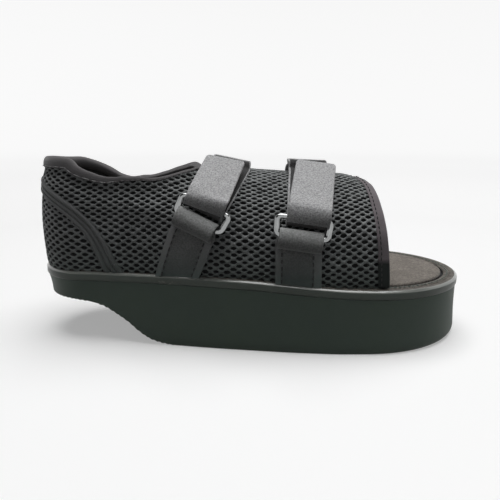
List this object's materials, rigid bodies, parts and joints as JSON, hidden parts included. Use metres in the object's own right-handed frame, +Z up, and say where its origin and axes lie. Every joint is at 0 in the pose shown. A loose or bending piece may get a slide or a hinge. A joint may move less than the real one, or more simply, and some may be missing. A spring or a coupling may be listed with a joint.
{
  "type": "post operative shoe",
  "caption": "Open toe post operative shoe with a thick wedge sole cut away below the heel, a mesh wrap upper and straps through rings.",
  "frame": {"origin": "on the floor face of the sole at the middle of its length and width", "axes": "+X to the toe, +Z up, the rings on the -Y side"},
  "size_m": [0.2911, 0.1115, 0.1239],
  "materials": {
    "wedge_foam": "matte foam skin",
    "layer_foam": "matte foam skin",
    "footbed": "brushed, suede like",
    "mesh": "open spacer mesh",
    "binding": "woven tape",
    "tape": "ridged tape",
    "webbing": "looped pile webbing",
    "ring_metal": "gloss black"
  },
  "bodies": {
    "root": {"outsole": "wedge_foam", "sole_layer": "layer_foam", "insole": "footbed", "upper": "mesh", "collar_binding": "binding", "toe_binding_near": "binding", "toe_binding_far": "binding", "counter_tape": "tape", "rear_ring": "ring_metal", "rear_tab": "webbing", "rear_strap": "webbing", "front_ring": "ring_metal", "front_tab": "webbing", "front_strap": "webbing"}
  },
  "joints": []
}
